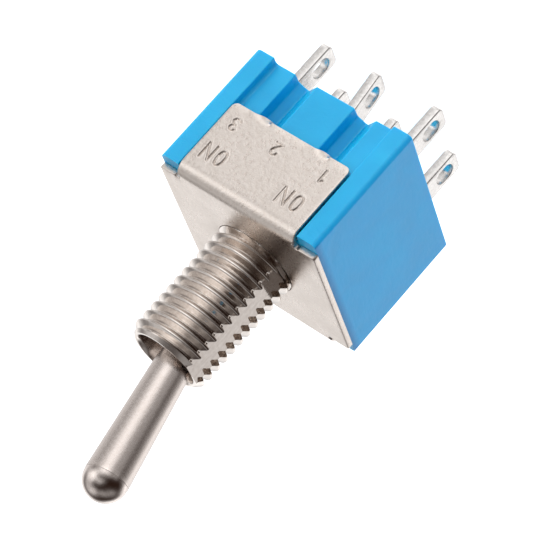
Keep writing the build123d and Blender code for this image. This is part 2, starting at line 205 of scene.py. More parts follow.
def sheet_steel():
    m = Mat("sheet_steel")
    dimple = m.noise(0.27, 4, 0.62)
    wide = m.noise(2.4, 3, 0.5)
    grit = m.noise(0.13, 3, 0.65)
    base = m.ramp(dimple, [(0.25, (0.66, 0.585, 0.53)), (0.5, (0.76, 0.695, 0.645)), (0.8, (0.83, 0.775, 0.73))])
    base = m.mix(m.ramp(wide, [(0.35, 0.0), (0.7, 0.35)]), base, (0.70, 0.645, 0.59))
    pits = m.ramp(m.noise(0.16, 2, 0.6, loc=(5, 2, 9)), [(0.69, 0.0), (0.75, 0.6)])
    base = m.mix(pits, base, (0.36, 0.27, 0.21))
    rough = m.remap(m.math("ADD", m.math("MULTIPLY", dimple, 0.6), m.math("MULTIPLY", wide, 0.4)), 0.3, 0.7, 0.23, 0.36)
    n = m.bump(dimple, 0.018)
    n = m.bump(grit, 0.012, n)
    n = m.bump(wide, 0.02, n)
    m.set(Base_Color=base, Metallic=1.0, Roughness=rough, Normal=n)
    return m.m


def nickel():
    m = Mat("bright_nickel")
    wide = m.noise(1.6, 3, 0.5)
    fine = m.noise(0.22, 3, 0.6)
    lines = m.noise(0.16, 2, 0.5, stretch=(0.12, 0.12, 1.0))
    base = m.ramp(fine, [(0.3, (0.67, 0.61, 0.565)), (0.6, (0.75, 0.70, 0.66)), (0.85, (0.80, 0.76, 0.725))])
    rough = m.remap(m.math("ADD", m.math("MULTIPLY", fine, 0.5), m.math("MULTIPLY", wide, 0.5)), 0.3, 0.7, 0.07, 0.14)
    n = m.bump(lines, 0.003)
    n = m.bump(fine, 0.003, n)
    m.set(Base_Color=base, Metallic=1.0, Roughness=rough, Normal=n)
    return m.m


def cut_nickel():
    """The milled keyway: as bright as the thread, and smoother."""
    m = Mat("milled_nickel")
    fine = m.noise(0.3, 3, 0.6)
    base = m.ramp(fine, [(0.3, (0.70, 0.635, 0.59)), (0.7, (0.80, 0.745, 0.70))])
    n = m.bump(m.noise(0.2, 2, 0.5, stretch=(1, 1, 0.2)), 0.004)
    m.set(Base_Color=base, Metallic=1.0, Roughness=m.remap(fine, 0.3, 0.7, 0.04, 0.08), Normal=n)
    return m.m


def keyway_wall_shade_nickel():
    """The keyway's side walls, cut through the thread: uneven, and their dark brown is painted shade and painted dark
    reflection of the cut thread ends.
    """
    m = Mat("keyway_wall_shade_nickel")
    fine = m.noise(0.11, 3, 0.6)
    # painted shade and painted dark reflection: the dark brown stops stand in for the shade in the thread ends at the
    # walls
    base = m.ramp(fine, [(0.35, (0.20, 0.145, 0.115)), (0.55, (0.36, 0.28, 0.225)), (0.68, (0.80, 0.70, 0.60))])
    n = m.bump(fine, 0.02)
    n = m.bump(m.noise(0.3, 2, 0.5), 0.03, n)
    m.set(Base_Color=base, Metallic=1.0, Roughness=m.remap(fine, 0.3, 0.7, 0.14, 0.26), Normal=n)
    return m.m


def satin_lever():
    m = Mat("satin_nickel")
    wide = m.noise(2.2, 3, 0.5)
    grain = m.noise(0.13, 3, 0.65)
    lines = m.noise(0.2, 3, 0.6, stretch=(1.0, 1.0, 0.25))
    dome = m.remap(m.math("ADD", m.axis("Z"), m.math("MULTIPLY", m.axis("X"), -0.2126)), 0.01765, 0.01785, 0.0, 1.0)
    base = m.ramp(grain, [(0.3, (0.63, 0.56, 0.52)), (0.6, (0.725, 0.66, 0.625)), (0.85, (0.79, 0.735, 0.70))])
    rough_a = m.remap(m.math("ADD", m.math("MULTIPLY", grain, 0.6), m.math("MULTIPLY", wide, 0.4)), 0.3, 0.7, 0.22, 0.31)
    rough_b = m.remap(wide, 0.3, 0.7, 0.02, 0.05)
    n = m.t.nodes.new("ShaderNodeMix"); n.data_type = "FLOAT"
    m.put(n.inputs[0], dome); m.put(n.inputs[2], rough_a); m.put(n.inputs[3], rough_b)
    nn = m.bump(grain, 0.004)
    nn = m.bump(lines, 0.003, nn)
    nn = m.bump(wide, 0.02, nn)
    m.set(Base_Color=base, Metallic=1.0, Roughness=n.outputs[0], Normal=nn)
    return m.m


def tinned():
    m = Mat("bright_tin")
    wide = m.noise(1.1, 3, 0.5)
    fine = m.noise(0.25, 3, 0.6)
    lines = m.noise(0.12, 3, 0.6, stretch=(1.0, 1.0, 0.15))
    base = m.ramp(fine, [(0.25, (0.62, 0.60, 0.585)), (0.6, (0.75, 0.735, 0.72)), (0.85, (0.83, 0.82, 0.81))])
    rough = m.remap(m.math("ADD", m.math("MULTIPLY", fine, 0.5), m.math("MULTIPLY", wide, 0.5)), 0.3, 0.7, 0.18, 0.32)
    n = m.bump(lines, 0.004)
    n = m.bump(wide, 0.015, n)
    n = m.bump(fine, 0.004, n)
    m.set(Base_Color=base, Metallic=1.0, Roughness=rough, Normal=n)
    return m.m


def silver():
    m = Mat("contact_silver")
    wide = m.noise(0.9, 3, 0.5)
    fine = m.noise(0.15, 3, 0.6)
    base = m.ramp(wide, [(0.3, (0.78, 0.72, 0.60)), (0.6, (0.86, 0.82, 0.74)), (0.85, (0.90, 0.87, 0.82))])
    rough = m.remap(fine, 0.3, 0.7, 0.18, 0.34)
    m.set(Base_Color=base, Metallic=1.0, Roughness=rough, Normal=m.bump(fine, 0.004))
    return m.m


def steel_wire():
    m = Mat("spring_steel")
    fine = m.noise(0.1, 3, 0.6)
    wide = m.noise(0.8, 2, 0.5)
    base = m.ramp(wide, [(0.3, (0.42, 0.40, 0.38)), (0.7, (0.60, 0.58, 0.56))])
    m.set(Base_Color=base, Metallic=1.0, Roughness=m.remap(fine, 0.3, 0.7, 0.2, 0.38), Normal=m.bump(fine, 0.003))
    return m.m


def nylon():
    m = Mat("natural_nylon")
    wide = m.noise(1.8, 3, 0.5)
    fine = m.noise(0.2, 3, 0.6)
    base = m.ramp(wide, [(0.3, (0.66, 0.64, 0.56)), (0.7, (0.78, 0.76, 0.69))])
    m.set(Base_Color=base, Roughness=m.remap(fine, 0.3, 0.7, 0.42, 0.58), Normal=m.bump(fine, 0.006))
    m.bsdf.inputs["Subsurface Weight"].default_value = 0.25
    m.bsdf.inputs["Subsurface Radius"].default_value = (1.0, 0.9, 0.7)
    m.bsdf.inputs["Subsurface Scale"].default_value = 0.0006
    return m.m


def acetal():
    m = Mat("black_acetal")
    wide = m.noise(1.2, 3, 0.5)
    fine = m.noise(0.15, 3, 0.6)
    base = m.ramp(wide, [(0.3, (0.012, 0.012, 0.013)), (0.7, (0.028, 0.028, 0.030))])
    m.set(Base_Color=base, Roughness=m.remap(fine, 0.3, 0.7, 0.28, 0.45), Normal=m.bump(fine, 0.004))
    return m.m


BLUE, STEEL, NICKEL, LEVER, TIN = blue_plastic(), sheet_steel(), nickel(), satin_lever(), tinned()
CUT, KEYWAY_WALL_SHADE = cut_nickel(), keyway_wall_shade_nickel()
SILVER, WIRE, NYLON, ACETAL = silver(), steel_wire(), nylon(), acetal()


def paint(o, mat):
    o.data.materials.clear()
    o.data.materials.append(mat)


for n, mat in {"case": BLUE, "lever_pin": WIRE, "actuator": NYLON,
               "plunger_front": ACETAL, "plunger_rear": ACETAL,
               "rocker_front": SILVER, "rocker_rear": SILVER}.items():
    paint(nodes[n], mat)
for n in nodes:
    if n.startswith("contact"):
        paint(nodes[n], SILVER)


# ------------------------------------------------------------ mesh helpers
def new_mesh(name, verts, faces, smooth_angle=None):
    me = bpy.data.meshes.new(name)
    me.from_pydata([tuple(c * MM for c in v) for v in verts], [], faces)
    me.validate()
    bm = bmesh.new()
    bm.from_mesh(me)
    bmesh.ops.remove_doubles(bm, verts=bm.verts, dist=1e-8)
    bmesh.ops.recalc_face_normals(bm, faces=bm.faces)
    bm.to_mesh(me)
    bm.free()
    o = bpy.data.objects.new(name, me)
    scene.collection.objects.link(o)
    if smooth_angle is not None:
        smooth(o, smooth_angle)
    return o


def smooth(o, angle_deg):
    """Smooth shading, with edges sharper than the angle kept crisp."""
    me = o.data
    me.polygons.foreach_set("use_smooth", [True] * len(me.polygons))
    bm = bmesh.new()
    bm.from_mesh(me)
    lim = math.radians(angle_deg)
    for e in bm.edges:
        e.smooth = not (len(e.link_faces) == 2 and e.calc_face_angle(0) > lim)
    bm.to_mesh(me)
    bm.free()
    me.update()


# ----------------------------------------------------------------- bushing
PITCH = 0.75
R_CREST = 2.98
CREST_R, ROOT_R = 0.10, 0.03    # roundings of a 60 degree thread
KEY_A = math.radians(188.4)
KEY_W, KEY_F = 0.9, 2.445
PHASE = 0.0
TOP = 8.9
APEX = R_CREST + CREST_R        # where the flanks would meet outside
VALLEY = APEX - PITCH / 2 / math.tan(math.radians(30))
C_X, R_X = CREST_R * math.sin(math.radians(60)), PITCH / 2 - ROOT_R * math.sin(math.radians(60))
STATIONS = [0.0, 0.03, 0.06, 0.09, C_X / PITCH, 0.2, 0.29, 0.38, R_X / PITCH, (R_X / PITCH + 0.5) / 2, 0.5]
STATIONS = STATIONS + [1 - x for x in reversed(STATIONS[1:-1])]


def thread_radius(theta, z):
    """Right-hand 60 degree thread with a rounded crest and a nearly sharp root."""
    t = (z / PITCH - theta / (2 * math.pi) + PHASE) % 1.0
    x = min(t, 1 - t) * PITCH       # distance along the axis from a crest's middle
    if x < C_X:
        r = R_CREST - CREST_R + math.sqrt(CREST_R ** 2 - x ** 2)
    elif x < R_X:
        r = APEX - x / math.tan(math.radians(30))
    else:
        r = VALLEY + 2 * ROOT_R - math.sqrt(max(0.0, ROOT_R ** 2 - (PITCH / 2 - x) ** 2))
    # the thread runs out against the plate, where the neck fills the hole
    r = max(r, 2.965 - max(0.0, z - 0.04) * 4)
    # chamfered mouth
    return min(r, R_CREST - 0.01 - max(0.0, z - 8.40) * 0.92)


def bushing():
    nt = 240
    verts, faces, rows = [], [], []
    kx, ky = (math.cos(KEY_A), math.sin(KEY_A)), (-math.sin(KEY_A), math.cos(KEY_A))
    turns = int(TOP / PITCH) + 4
    levels = [k + f for k in range(-3, turns) for f in STATIONS]
    for lv in levels:
        row = []
        for j in range(nt + 1):
            # an angle from the keyway's one wall round to its other wall
            u = j / nt
            a = 0.33 + (2 * math.pi - 0.66) * u
            for _ in range(4):
                z = min(TOP, max(0.0, (lv + (KEY_A + a) / (2 * math.pi) - PHASE) * PITCH))
                r = thread_radius(KEY_A + a, z)
                edge = math.asin(KEY_W / r)
                a = edge + (2 * math.pi - 2 * edge) * u
            if j in (0, nt):        # exactly on the wall's plane
                y = KEY_W if j == 0 else -KEY_W
                x = max(KEY_F + 0.003, math.sqrt(r * r - KEY_W ** 2))
            else:
                x, y = r * math.cos(a), r * math.sin(a)
            row.append(len(verts))
            verts.append((kx[0] * x + ky[0] * y, kx[1] * x + ky[1] * y, z))
        rows.append(row)
    nz = len(levels) - 1
    for i in range(nz):
        for j in range(nt):
            faces.append((rows[i][j], rows[i][j + 1], rows[i + 1][j + 1], rows[i + 1][j]))
    # keyway: two walls, and a floor between them
    nk = 8
    krows = []
    for i in range(nz + 1):
        row = [rows[i][nt]]
        z1, z0 = verts[rows[i][nt]][2], verts[rows[i][0]][2]
        for j in range(nk + 1):
            y = -KEY_W + 2 * KEY_W * j / nk
            row.append(len(verts))
            verts.append((kx[0] * KEY_F + ky[0] * y, kx[1] * KEY_F + ky[1] * y, z1 + (z0 - z1) * j / nk))
        row.append(rows[i][0])
        krows.append(row)
    n_thread = len(faces)
    for i in range(nz):
        for j in range(nk + 2):
            faces.append((krows[i][j], krows[i][j + 1], krows[i + 1][j + 1], krows[i + 1][j]))
    # outline rings at the bottom and the top, joined to the bore and the shank
    out_top = rows[-1][:-1] + krows[-1][:-1]
    out_bot = rows[0][:-1] + krows[0][:-1]
    n = len(out_top)

    def ring(r, z):
        ids = []
        for i in range(n):
            v = verts[out_top[i]]
            a = math.atan2(v[1], v[0])
            ids.append(len(verts))
            verts.append((r * math.cos(a), r * math.sin(a), z))
        return ids

    def bridge(a, b):
        for i in range(n):
            j = (i + 1) % n
            faces.append((a[i], a[j], b[j], b[i]))

    # inside: mouth, bore, throat, spherical seat, lower bore
    seat = math.sqrt(2.0 ** 2 - 1.75 ** 2)
    prof = [(2.36, TOP), (2.31, TOP - 0.02), (2.25, TOP - 0.1)]
    for i in range(1, 13):
        f = i / 12
        prof.append((2.25 - 0.5 * f, TOP - 0.1 - (TOP - 0.1 - 5.4 - seat) * f))
    for i in range(1, 9):
        a = math.atan2(seat, 1.75) * (1 - i / 8)
        prof.append((2.0 * math.cos(a), 5.4 + 2.0 * math.sin(a)))
    prof += [(2.0, 4.0), (2.0, 2.2), (2.35, -0.85)]
    prev = out_top
    for r, z in prof:
        cur = ring(r, z)
        bridge(prev, cur)
        prev = cur
    for r, z in [(3.5, -0.85), (3.55, -0.8), (3.55, -0.47), (3.5, -0.42), (2.8, -0.42), (2.8, -0.02)]:
        cur = ring(r, z)
        bridge(prev, cur)
        prev = cur
    bridge(prev, out_bot)
    o = new_mesh("threaded_bushing", verts, faces)
    # slots for the cross pin
    cut = []
    cf = []
    m = 24
    outline = [(-0.45, -1.0)] + [(-0.45 * math.cos(math.pi * i / m), 5.4 + 0.45 * math.sin(math.pi * i / m)) for i in range(m + 1)] + [(0.45, -1.0)]
    k = len(outline)
    for y in (-2.36, 2.36):
        cut += [(x, y, z) for x, z in outline]
    cf.append(tuple(range(k)))
    cf.append(tuple(range(2 * k - 1, k - 1, -1)))
    for i in range(k):
        j = (i + 1) % k
        cf.append((i, j, k + j, k + i))
    c = new_mesh("slot_cutter", cut, cf)
    b = o.modifiers.new("slots", "BOOLEAN")
    b.operation, b.solver, b.object = "DIFFERENCE", "EXACT", c
    dg = bpy.context.evaluated_depsgraph_get()
    me = bpy.data.meshes.new_from_object(o.evaluated_get(dg))
    o.modifiers.clear()
    o.data = me
    bpy.data.objects.remove(c)
    smooth(o, 28)
    return o


barrel = bushing()
paint(barrel, NICKEL)
barrel.data.materials.append(CUT)
# the keyway walls get the material with the painted shade and dark reflection
barrel.data.materials.append(KEYWAY_WALL_SHADE)
for p in barrel.data.polygons:
    c = p.center / MM
    x = c.x * math.cos(KEY_A) + c.y * math.sin(KEY_A)
    y = -c.x * math.sin(KEY_A) + c.y * math.cos(KEY_A)
    if x > 2.3 and abs(y) < 0.905 and c.z > 0.02:
        p.material_index = 2 if abs(y) > 0.89 else 1
    else:
        p.material_index = 0
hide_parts("bushing")
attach(barrel, "root")


# ------------------------------------------------------------------- lever
def lever():
    a12 = math.radians(12)
    ax = Vector((-math.sin(a12), 0, math.cos(a12)))
    ex = Vector((math.cos(a12), 0, math.sin(a12)))
    ey = Vector((0, 1, 0))
    piv = Vector((0, 0, 5.4))
    ball, tail, neck = 1.95, 0.7, 1.2
    tip, dome_start, dome_r = 13.74, 12.15, 1.50
    prof = [(0.0, -8.6), (tail - 0.12, -8.6), (tail - 0.04, -8.57), (tail, -8.48)]
    for i in range(1, 8):
        prof.append((tail, -8.48 + (8.48 - math.sqrt(ball ** 2 - tail ** 2)) * i / 8))
    a0 = math.atan2(-math.sqrt(ball ** 2 - tail ** 2), tail)
    a1 = math.atan2(math.sqrt(ball ** 2 - neck ** 2), neck)
    for i in range(25):
        a = a0 + (a1 - a0) * i / 24
        prof.append((ball * math.cos(a), ball * math.sin(a)))
    y0 = math.sqrt(ball ** 2 - neck ** 2)
    end_r = 1.524 + 0.0307 * (dome_start - 12)
    for i in range(1, 40):
        f = i / 40
        prof.append((neck + (end_r - 0.012 - neck) * f, y0 + (dome_start - 0.08 - y0) * f))
    cap_h = tip - dome_start
    cap_r = (dome_r ** 2 + cap_h ** 2) / (2 * cap_h)
    # a small turned edge between shank and dome
    prof += [(end_r - 0.012, dome_start - 0.08), (end_r - 0.004, dome_start - 0.04), (end_r - 0.006, dome_start - 0.012), (dome_r + 0.004, dome_start + 0.004)]
    s0 = math.asin((dome_start - (tip - cap_r)) / cap_r)
    for i in range(1, 28):
        a = s0 + (math.pi / 2 - s0) * i / 28
        prof.append((cap_r * math.cos(a), tip - cap_r + cap_r * math.sin(a)))
    prof.append((0.0, tip))
    seg = 128
    verts, faces, rows = [], [], []
    for r, h in prof:
        if r < 1e-9:
            rows.append([len(verts)])
            verts.append(tuple(piv + ax * h))
            continue
        row = []
        for j in range(seg):
            t = 2 * math.pi * j / seg
            row.append(len(verts))
            verts.append(tuple(piv + ax * h + (ex * math.cos(t) + ey * math.sin(t)) * r))
        rows.append(row)
    for a, b in zip(rows, rows[1:]):
        for j in range(seg):
            k = (j + 1) % seg
            if len(a) == 1:
                faces.append((a[0], b[j], b[k]))
            elif len(b) == 1:
                faces.append((a[j], a[k], b[0]))
            else:
                faces.append((a[j], a[k], b[k], b[j]))
    return new_mesh("bat_lever", verts, faces, 30)


bat = lever()
paint(bat, LEVER)
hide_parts("toggle_lever")
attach(bat, "lever")

# ------------------------------------------------------------------- frame
T = 0.42
BEND_Y, BEND_R = 5.62, 0.9
ARC = BEND_R * math.pi / 2
FLAT0 = BEND_Y + ARC                    # blank distance where the flap's flat starts
FLAP_END = FLAT0 + 5.1
HOOK_D = 4.50                           # crimps start this far below the fold
HOOKS = ((1.82, 3.08), (-3.02, -1.92))  # X of the front flap's crimps


def step(a, b, x):
    t = min(1.0, max(0.0, (x - a) / (b - a)))
    return t * t * (3 - 2 * t)


def hook_share(x, low=1.0):
    """How far the sheet is bent in at this X of the front flap; low is 0 at the bend and 1 at the edge."""
    w = 0.45 - 0.36 * low           # the steep side is torn at the edge and blends in above it
    return max(step(lo - w, lo + 0.03 + 0.2 * (1 - low), x) * (1 - step(lo + 0.1, hi + 0.15, x)) for lo, hi in HOOKS)


def seg_dist(px, py, ax, ay, bx, by):
    dx, dy = bx - ax, by - ay
    t = max(0.0, min(1.0, ((px - ax) * dx + (py - ay) * dy) / (dx * dx + dy * dy)))
    return math.hypot(px - ax - t * dx, py - ay - t * dy)


def strokes():
    """Centre lines of the stamped marks, in X and Z of the front flap."""
    out = []
    for cx, cz in ((-3.53, -2.2), (2.82, -2.15)):
        o = []
        for i in range(25):
            a = 2 * math.pi * i / 24
            ca, sa = math.cos(a), math.sin(a)
            o.append((cx + 0.27 * math.copysign(abs(ca) ** 0.8, ca), cz + 0.56 * math.copysign(abs(sa) ** 0.9, sa)))
        out.append(o)
        out.append([(cx + 0.70, cz - 0.62), (cx + 0.70, cz + 0.60), (cx + 1.36, cz - 0.60), (cx + 1.36, cz + 0.62)])
    out.append([(-3.86, -4.36), (-3.62, -4.16), (-3.62, -5.08)])
    out.append([(-0.02, -4.36), (0.02, -4.2), (0.2, -4.14), (0.42, -4.2), (0.47, -4.4), (0.36, -4.62), (-0.03, -5.05), (0.5, -5.05)])
    out.append([(3.5, -4.27), (3.62, -4.15), (3.84, -4.16), (3.95, -4.32), (3.87, -4.5), (3.68, -4.58), (3.9, -4.66),
                (4.0, -4.84), (3.88, -5.03), (3.64, -5.07), (3.48, -4.95)])
    return out


STROKES = strokes()
BOXES = [(min(p[0] for p in s) - 0.2, max(p[0] for p in s) + 0.2, min(p[1] for p in s) - 0.2, max(p[1] for p in s) + 0.2) for s in STROKES]


def mark_depth(x, z):
    best = 9.0
    for s, (x0, x1, z0, z1) in zip(STROKES, BOXES):
        if x0 < x < x1 and z0 < z < z1:
            for a, b in zip(s, s[1:]):
                best = min(best, seg_dist(x, z, *a, *b))
    if best > 0.2:
        return 0.0
    return 0.085 * math.exp(-(best / 0.055) ** 2) - 0.010 * math.exp(-((best - 0.12) / 0.04) ** 2)


def place(x, q, h):
    """A point of the unfolded blank, h through the sheet from its inside, folded into place."""
    s, side = abs(q), (-1 if q < 0 else 1)
    if s <= BEND_Y:
        return (x, q, h - T)
    if s <= FLAT0:
        f = (s - BEND_Y) / BEND_R
        r = BEND_R - (T - h)
        return (x, side * (BEND_Y + r * math.sin(f)), -BEND_R + r * math.cos(f))
    d = s - FLAT0
    low = min(1.0, max(0.0, (d - HOOK_D) / (FLAP_END - FLAT0 - HOOK_D)))
    top = math.radians(44) * hook_share(-side * x, low)
    y, z, f = BEND_Y + BEND_R, -BEND_R - min(d, HOOK_D), 0.0
    if d > HOOK_D:
        left, n = d - HOOK_D, 8
        for i in range(n):
            f = top * step(0, 0.7, left * (i + 0.5) / n)
            y -= math.sin(f) * left / n
            z -= math.cos(f) * left / n
        f = top * step(0, 0.7, left)
    depth = T - h
    if side < 0 and h > 0.9 * T:
        depth += mark_depth(x, -BEND_R - d)
    # the sheet's faint waviness
    depth += 0.006 * noise.noise(Vector((x * 0.9, q * 0.9, 3.0))) * step(0, 0.6, d)
    return (x, side * (y - depth * math.cos(f)), z + depth * math.sin(f))


def arc_points(cx, cy, r, a0, a1, n):
    return [(cx + r * math.cos(math.radians(a0 + (a1 - a0) * i / n)), cy + r * math.sin(math.radians(a0 + (a1 - a0) * i / n))) for i in range(n + 1)]


def blank_outline():
    """Half the blank's outline, on the +Q side, from +X round to -X; the other half is it turned half round."""
    def quarter(sx):
        p = arc_points(6.32, 5.28, 0.18, 0, 90, 6)
        a0 = math.degrees(math.atan2(-0.15, 0.2245))
        a1 = math.degrees(math.atan2(0.2419, -0.12)) - 360
        p += arc_points(5.0, 5.61, 0.27, a0, a1, 14)
        p += arc_points(4.88 - 0.42, FLAP_END - 0.42, 0.42, 0, 90, 10)
        return [(sx * x, y) for x, y in p]
    right = quarter(1)
    left = list(reversed(quarter(-1)))
    # the crimps' tongues reach a little further down; this +Q side is the back flap
    low = []
    x = 4.4
    while x > -4.4:
        low.append((x, FLAP_END + 0.40 * hook_share(-x)))
        x -= 0.06
    pts = right + low + left
    return pts


def densify(loop, most):
    out = []
    n = len(loop)
    for i in range(n):
        a, b = loop[i], loop[(i + 1) % n]
        d = math.hypot(b[0] - a[0], b[1] - a[1])
        if d < 1e-6:
            continue
        k = max(1, math.ceil(d / most))
        out += [(a[0] + (b[0] - a[0]) * t / k, a[1] + (b[1] - a[1]) * t / k) for t in range(k)]
    return out


def inset(loop, amount):
    """The loop moved to its left by amount, point by point."""
    out, n = [], len(loop)
    for i in range(n):
        a, b, c = loop[i - 1], loop[i], loop[(i + 1) % n]
        d1 = (b[0] - a[0], b[1] - a[1]); d2 = (c[0] - b[0], c[1] - b[1])
        l1, l2 = math.hypot(*d1), math.hypot(*d2)
        nx = -d1[1] / l1 - d2[1] / l2
        ny = d1[0] / l1 + d2[0] / l2
        l = math.hypot(nx, ny)
        k = min(1.4, 2 / max(l, 0.5)) if l > 1e-6 else 1
        out.append((b[0] + nx / l * amount * k, b[1] + ny / l * amount * k))
    return out


def in_poly(x, y, poly):
    c = False
    n = len(poly)
    for i in range(n):
        x1, y1 = poly[i]
        x2, y2 = poly[i - 1]
        if (y1 > y) != (y2 > y) and x < (x2 - x1) * (y - y1) / (y2 - y1) + x1:
            c = not c
    return c


def slab(name, outline, holes, points, put, thick, e_top, e_low, angle=40):
    """A sheet cut to an outline with holes, both faces meshed through the points, its edges rounded.

    put(x, y, h) says where the blank's point x, y at height h through the sheet ends up."""
    from mathutils.geometry import delaunay_2d_cdt
    loops = [(outline, e_top, e_low)] + [(h, e_top * 0.7, e_low * 0.7) for h in holes]
    top_loops = [inset(lp, et) for lp, et, _ in loops]
    border = [p for lp in top_loops for p in lp]
    cell = {}
    for bx, by in border:
        cell.setdefault((int(bx // 0.3), int(by // 0.3)), []).append((bx, by))

    def clear(x, y, room):
        cx, cy = int(x // 0.3), int(y // 0.3)
        return all((bx - x) ** 2 + (by - y) ** 2 >= room * room
                   for i in (-1, 0, 1) for k in (-1, 0, 1) for bx, by in cell.get((cx + i, cy + k), ()))

    def inside(x, y):
        return in_poly(x, y, top_loops[0]) and not any(in_poly(x, y, h) for h in top_loops[1:])
    inner = [(x, y) for x, y, room in points if clear(x, y, room) and inside(x, y)]
    pts = border + inner
    cons, first, firsts = [], 0, []
    for lp in top_loops:
        n = len(lp)
        cons += [(first + i, first + (i + 1) % n) for i in range(n)]
        firsts.append(first)
        first += n
    res = delaunay_2d_cdt([Vector(p) for p in pts], cons, [], 0, 1e-7)
    co, tris, orig = res[0], res[2], res[3]
    back_map = {}
    for i, src in enumerate(orig):
        for k in src:
            back_map[k] = i
    keep = [f for f in tris if inside(sum(co[i][0] for i in f) / 3, sum(co[i][1] for i in f) / 3)]
    n = len(co)
    verts = [put(p[0], p[1], thick) for p in co]
    faces = [tuple(f) for f in keep]
    low_xy = [tuple(p) for p in co]
    for (lp, _, el), first in zip(loops, firsts):
        for k, p in enumerate(inset(lp, el)):
            low_xy[back_map[first + k]] = p
    verts += [put(p[0], p[1], 0.0) for p in low_xy]
    faces += [tuple(n + i for i in reversed(f)) for f in keep]
    for (lp, et, el), first in zip(loops, firsts):
        count = len(lp)
        prev = [back_map[first + k] for k in range(count)]
        rings = []
        for t in (30, 60, 90):
            a = math.radians(t)
            rings.append((et * (1 - math.sin(a)), thick - et * (1 - math.cos(a))))
        for t in (90, 60, 30):
            a = math.radians(t)
            rings.append((el * (1 - math.sin(a)), el * (1 - math.cos(a))))
        for off, h in rings:
            xy = inset(lp, off) if off > 1e-9 else lp
            cur = list(range(len(verts), len(verts) + count))
            verts += [put(p[0], p[1], h) for p in xy]
            for k in range(count):
                m2 = (k + 1) % count
                faces.append((prev[k], prev[m2], cur[m2], cur[k]))
            prev = cur
        cur = [n + back_map[first + k] for k in range(count)]
        for k in range(count):
            m2 = (k + 1) % count
            faces.append((prev[k], prev[m2], cur[m2], cur[k]))
    return new_mesh(name, verts, faces, angle)


def rng(a, b, st):
    n = max(1, round((b - a) / st))
    return [a + (b - a) * i / n for i in range(n + 1)]


def sheet_cover():
    half = blank_outline()
    loop = densify(half + [(-x, -y) for x, y in half], 0.22)
    hole = [(3.0 * math.cos(-2 * math.pi * i / 96), 3.0 * math.sin(-2 * math.pi * i / 96)) for i in range(96)]
    grid = {}

    def add(x, y, room):
        grid.setdefault((round(x / 0.02), round(y / 0.02)), (x, y, room))
    for s in (-1, 1):
        for i in range(11):
            for x in rng(-4.7, 4.7, 0.22):
                add(x, s * (BEND_Y + ARC * i / 10), 0.06)
        for q in rng(FLAT0 + 0.15, FLAT0 + HOOK_D, 0.3):
            for x in rng(-4.7, 4.7, 0.3):
                add(x, s * q, 0.1)
        for q in rng(FLAT0 + HOOK_D - 0.1, FLAP_END + 0.4, 0.075):
            for x in rng(-3.5, -1.5, 0.08) + rng(1.5, 3.5, 0.08):
                add(x, s * q, 0.05)
    for x0, x1, z0, z1 in [(-3.98, -1.98, -3.0, -1.4), (2.36, 4.36, -2.95, -1.35), (-4.1, -3.35, -5.3, -3.95), (-0.25, 0.72, -5.3, -3.95), (3.28, 4.2, -5.3, -3.95)]:
        for x in rng(x0, x1, 0.042):
            for z in rng(z0, z1, 0.042):
                add(x, -(FLAT0 - z - BEND_R), 0.04)
    for x in rng(-6.2, 6.2, 0.7):
        for y in rng(-5.3, 5.3, 0.7):
            if math.hypot(x, y) > 3.3:
                add(x, y, 0.12)
    return slab("sheet_cover", loop, [hole], list(grid.values()), place, T, 0.06, 0.03)


cover = sheet_cover()
paint(cover, STEEL)
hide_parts("frame")
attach(cover, "root")


# ------------------------------------------------------------- solder lugs
def solder_lug(number, cx, cy, lean):
    """The lug below the case, with an eye and rounded edges, and the strip's own end inside the case."""
    t, half = 0.68, 0.94
    top, tip = -9.55, -14.0
    outline = [(half, top), (-half, top)]
    outline += arc_points(-half + 0.4, tip + 0.4, 0.4, 180, 270, 8)
    outline += arc_points(half - 0.4, tip + 0.4, 0.4, 270, 360, 8)
    outline = densify(outline, 0.2)
    r, z0 = 0.55, -12.62
    straight = 0.78 - r
    eye = arc_points(0, z0 + straight, r, 180, 0, 16) + arc_points(0, z0 - straight, r, 0, -180, 16)
    rnd = random.Random(number)
    seed = Vector((rnd.uniform(0, 50), rnd.uniform(0, 50), number))

    def put(u, v, h):
        f = min(1.0, max(0.0, (-10.35 - v) / 3.65))
        # uneven tin: a hair thinner or thicker over a millimetre or so
        swell = 0.012 * noise.noise(Vector((u * 1.1, v * 1.1, h)) + seed) * (1 if v < -10.2 else 0)
        return (cx - t / 2 + h + lean * f + (swell if h > t / 2 else -swell) - 0.006 * (1 if h > t / 2 else -1), cy + u, v)
    pts = [(u, v, 0.1) for u in rng(-0.8, 0.8, 0.2) for v in rng(-13.9, -9.7, 0.2)]
    o = slab(f"solder_lug_{number}", outline, [eye], pts, put, t, 0.075, 0.075)
    # the end inside the case, from the CAD piece
    bm = bmesh.new()
    bm.from_mesh(nodes[f"terminal_{number}"].data)
    bmesh.ops.remove_doubles(bm, verts=bm.verts, dist=2e-6)
    cut = bmesh.ops.bisect_plane(bm, geom=bm.verts[:] + bm.edges[:] + bm.faces[:], plane_co=(0, 0, -9.6 * MM), plane_no=(0, 0, -1), clear_outer=True)
    rim = [e for e in cut["geom_cut"] if isinstance(e, bmesh.types.BMEdge)]
    bmesh.ops.contextual_create(bm, geom=rim)
    bmesh.ops.recalc_face_normals(bm, faces=bm.faces)
    inner = bpy.data.meshes.new("inner")
    bm.to_mesh(inner)
    bm.free()
    bm = bmesh.new()
    bm.from_mesh(o.data)
    bm.from_mesh(inner)
    bm.to_mesh(o.data)
    bm.free()
    bpy.data.meshes.remove(inner)
    smooth(o, 40)
    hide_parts(f"terminal_{number}")
    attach(o, "root")
    paint(o, TIN)
    return o


for k, (cx, cy, lean) in enumerate([(-4.65, -2.5, 0), (0, -2.5, 0.42), (4.65, -2.5, 0), (-4.65, 2.5, 0), (0, 2.5, 0.16), (4.65, 2.5, 0)]):
    solder_lug(k + 1, cx, cy, lean)

